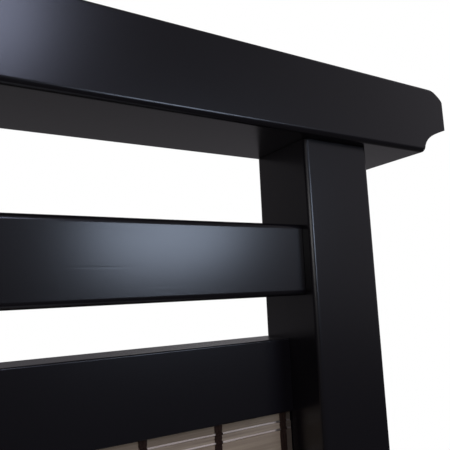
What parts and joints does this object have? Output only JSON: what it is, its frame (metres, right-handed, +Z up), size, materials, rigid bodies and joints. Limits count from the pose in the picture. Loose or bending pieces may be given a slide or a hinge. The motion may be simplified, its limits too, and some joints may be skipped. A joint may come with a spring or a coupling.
{
  "type": "fireplace screen",
  "caption": "Free-standing black wooden fireplace screen: posts on trestle feet, an overhanging cap with sawn ends, open rails and a woven wood panel.",
  "frame": {"origin": "on the floor, under the middle of the screen: midway between the posts and at the middle of their depth", "axes": "+X to the screen's right as seen from the front, +Y from the front to the back, +Z up"},
  "size_m": [0.9726, 0.28, 0.7901],
  "materials": {
    "frame_lacquer": "black satin lacquer over smooth wood, roughness about 0.4",
    "stop_lacquer": "black satin lacquer, a little thinner than on the frame",
    "slat": "grey-brown stained wood slat, matt, fine grain along its length",
    "reed": "pale grey-brown reed and narrow slat, matt",
    "cord": "dark brown twisted yarn",
    "dowel": "plain beech, fluted",
    "bolt": "zinc-plated steel",
    "barrel_nut": "zinc-plated steel",
    "foot_pad": "matt dark rubber"
  },
  "bodies": {
    "root": {"cap": "frame_lacquer", "left_post": "frame_lacquer", "right_post": "frame_lacquer", "upper_rail": "frame_lacquer", "lower_rail": "frame_lacquer", "panel_top_rail": "frame_lacquer", "panel_bottom_rail": "frame_lacquer", "left_foot": "frame_lacquer", "right_foot": "frame_lacquer", "panel_stop_top": "stop_lacquer", "panel_stop_bottom": "stop_lacquer", "panel_stop_left": "stop_lacquer", "panel_stop_right": "stop_lacquer", "left_foot_pad_front": "foot_pad", "left_cap_dowel_front": "dowel", "left_foot_dowel_front": "dowel", "left_foot_pad_back": "foot_pad", "left_cap_dowel_back": "dowel", "left_foot_dowel_back": "dowel", "left_foot_bolt": "bolt", "left_barrel_nut": "barrel_nut", "right_foot_pad_front": "foot_pad", "right_cap_dowel_front": "dowel", "right_foot_dowel_front": "dowel", "right_foot_pad_back": "foot_pad", "right_cap_dowel_back": "dowel", "right_foot_dowel_back": "dowel", "right_foot_bolt": "bolt", "right_barrel_nut": "barrel_nut", "wide_slat_01": "slat", "wide_slat_02": "slat", "wide_slat_03": "slat", "wide_slat_04": "slat", "wide_slat_05": "slat", "wide_slat_06": "slat", "wide_slat_07": "slat", "wide_slat_08": "slat", "wide_slat_09": "slat", "wide_slat_10": "slat", "wide_slat_11": "slat", "wide_slat_12": "slat", "wide_slat_13": "slat", "wide_slat_14": "slat", "wide_slat_15": "slat", "wide_slat_16": "slat", "reed_bundle_01": "reed", "reed_bundle_02": "reed", "reed_bundle_03": "reed", "reed_bundle_04": "reed", "reed_bundle_05": "reed", "reed_bundle_06": "reed", "reed_bundle_07": "reed", "reed_bundle_08": "reed", "reed_bundle_09": "reed", "reed_bundle_10": "reed", "reed_bundle_11": "reed", "reed_bundle_12": "reed", "reed_bundle_13": "reed", "reed_bundle_14": "reed", "reed_bundle_15": "reed"}
  },
  "joints": []
}
